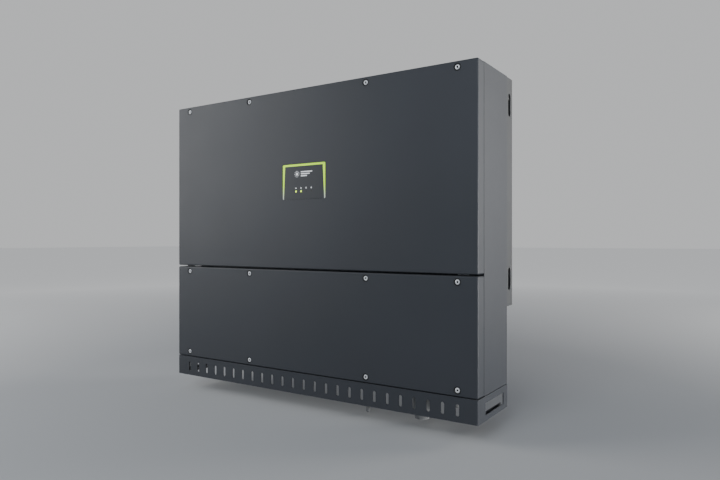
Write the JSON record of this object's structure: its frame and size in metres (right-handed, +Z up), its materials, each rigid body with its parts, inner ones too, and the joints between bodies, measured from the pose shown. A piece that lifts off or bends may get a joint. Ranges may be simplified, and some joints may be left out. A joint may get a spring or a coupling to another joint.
{
  "type": "string inverter",
  "caption": "Wall-hung string inverter: slim anthracite sheet-metal case with two screwed lids, a slotted cable skirt, rear heat sink and fans, hung on a wall bracket.",
  "frame": {"origin": "middle of the bracket's four wall holes, on the wall plane", "axes": "+X to the right seen from the front, +Y into the wall, +Z up; the front faces -Y"},
  "size_m": [0.855, 0.2, 0.746],
  "materials": {
    "case_paint": "fine-textured anthracite powder coat",
    "bracket_paint": "grey powder coat on galvanised sheet",
    "zinc_sheet": "zinc-plated sheet, faint spangle",
    "stainless": "turned stainless",
    "sink_aluminium": "extruded mill finish",
    "seal_rubber": "matt black foam and rubber",
    "panel_black": "dark smoked insert",
    "light_green": "translucent light guide",
    "led_clear": "lens",
    "board_green": "solder-masked laminate",
    "black_plastic": "moulded black nylon",
    "grey_plastic": "moulded light grey housing",
    "white_plastic": "moulded housing",
    "module_plastic": "filled epoxy case",
    "capacitor_case": "boxed film capacitor",
    "choke_block": "potted wound core in a painted can",
    "lead_black": "insulated stranded lead",
    "earth_brass": "bare brass"
  },
  "bodies": {
    "bracket": {"bracket_rail_left": "bracket_paint", "bracket_rail_right": "bracket_paint", "bracket_hook_rail": "bracket_paint", "bracket_lower_rail": "bracket_paint"},
    "case": {"side_panel_left": "case_paint", "side_panel_right": "case_paint", "roof_panel": "case_paint", "rear_wall_upper": "case_paint", "fan_shelf": "case_paint", "rear_wall_lower": "case_paint", "partition_plate": "zinc_sheet", "front_frame": "case_paint", "lid_bosses": "stainless", "bonding_tabs": "stainless", "skirt": "case_paint", "skirt_screws": "stainless", "gland_plate": "case_paint", "ac_gland_body": "grey_plastic", "ac_gland_nut": "grey_plastic", "data_glands": "grey_plastic", "data_gland_nuts": "grey_plastic", "vent_plug": "black_plastic", "antenna": "grey_plastic", "ground_stud": "stainless", "dc_sockets": "black_plastic", "dc_switch_bodies": "grey_plastic", "din_rail": "zinc_sheet", "dc_fuse_holders": "white_plastic", "surge_arresters": "grey_plastic", "ac_terminal_block": "grey_plastic", "dc_leads": "lead_black", "ac_leads": "lead_black", "ground_bar": "earth_brass", "communication_board": "board_green", "power_modules": "module_plastic", "power_board": "board_green", "link_capacitors": "capacitor_case", "grid_relays": "black_plastic", "control_board": "board_green", "power_chokes": "choke_block", "heat_sink": "sink_aluminium", "fan_plate": "case_paint", "fan_housings": "black_plastic", "fan_guards": "stainless", "hanger_rail": "bracket_paint"},
    "upper_lid": {"upper_lid": "case_paint", "upper_lid_seals": "seal_rubber", "upper_lid_screws": "stainless", "status_plate": "panel_black", "light_frame": "light_green", "status_lights": "led_clear", "status_board": "board_green"},
    "lower_lid": {"lower_lid": "case_paint", "lower_lid_seals": "seal_rubber", "lower_lid_screws": "stainless"},
    "dc_switch_1": {"dc_switch_knob_1": "black_plastic"},
    "dc_switch_2": {"dc_switch_knob_2": "black_plastic"},
    "fan_left": {"fan_rotor_left": "black_plastic"},
    "fan_middle": {"fan_rotor_middle": "black_plastic"},
    "fan_right": {"fan_rotor_right": "black_plastic"}
  },
  "joints": [
    {"name": "case_lift", "type": "slide", "parent": "bracket", "child": "case", "axis": [0, 0, 1], "range_m": [0, 0.026]},
    {"name": "upper_lid_off", "type": "slide", "parent": "case", "child": "upper_lid", "axis": [0, -1, 0], "range_m": [0, 0.09]},
    {"name": "lower_lid_off", "type": "slide", "parent": "case", "child": "lower_lid", "axis": [0, -1, 0], "range_m": [0, 0.09]},
    {"name": "dc_switch_1_turn", "type": "hinge", "parent": "case", "child": "dc_switch_1", "pos_m": [-0.372, -0.122, -0.412], "axis": [0, 0, 1], "range_deg": [0, 90]},
    {"name": "dc_switch_2_turn", "type": "hinge", "parent": "case", "child": "dc_switch_2", "pos_m": [-0.296, -0.122, -0.412], "axis": [0, 0, 1], "range_deg": [0, 90]},
    {"name": "fan_left_spin", "type": "hinge", "parent": "case", "child": "fan_left", "pos_m": [-0.23, -0.0515, -0.19], "axis": [0, 1, 0], "continuous": true},
    {"name": "fan_middle_spin", "type": "hinge", "parent": "case", "child": "fan_middle", "pos_m": [0, -0.0515, -0.19], "axis": [0, 1, 0], "continuous": true},
    {"name": "fan_right_spin", "type": "hinge", "parent": "case", "child": "fan_right", "pos_m": [0.23, -0.0515, -0.19], "axis": [0, 1, 0], "continuous": true}
  ]
}
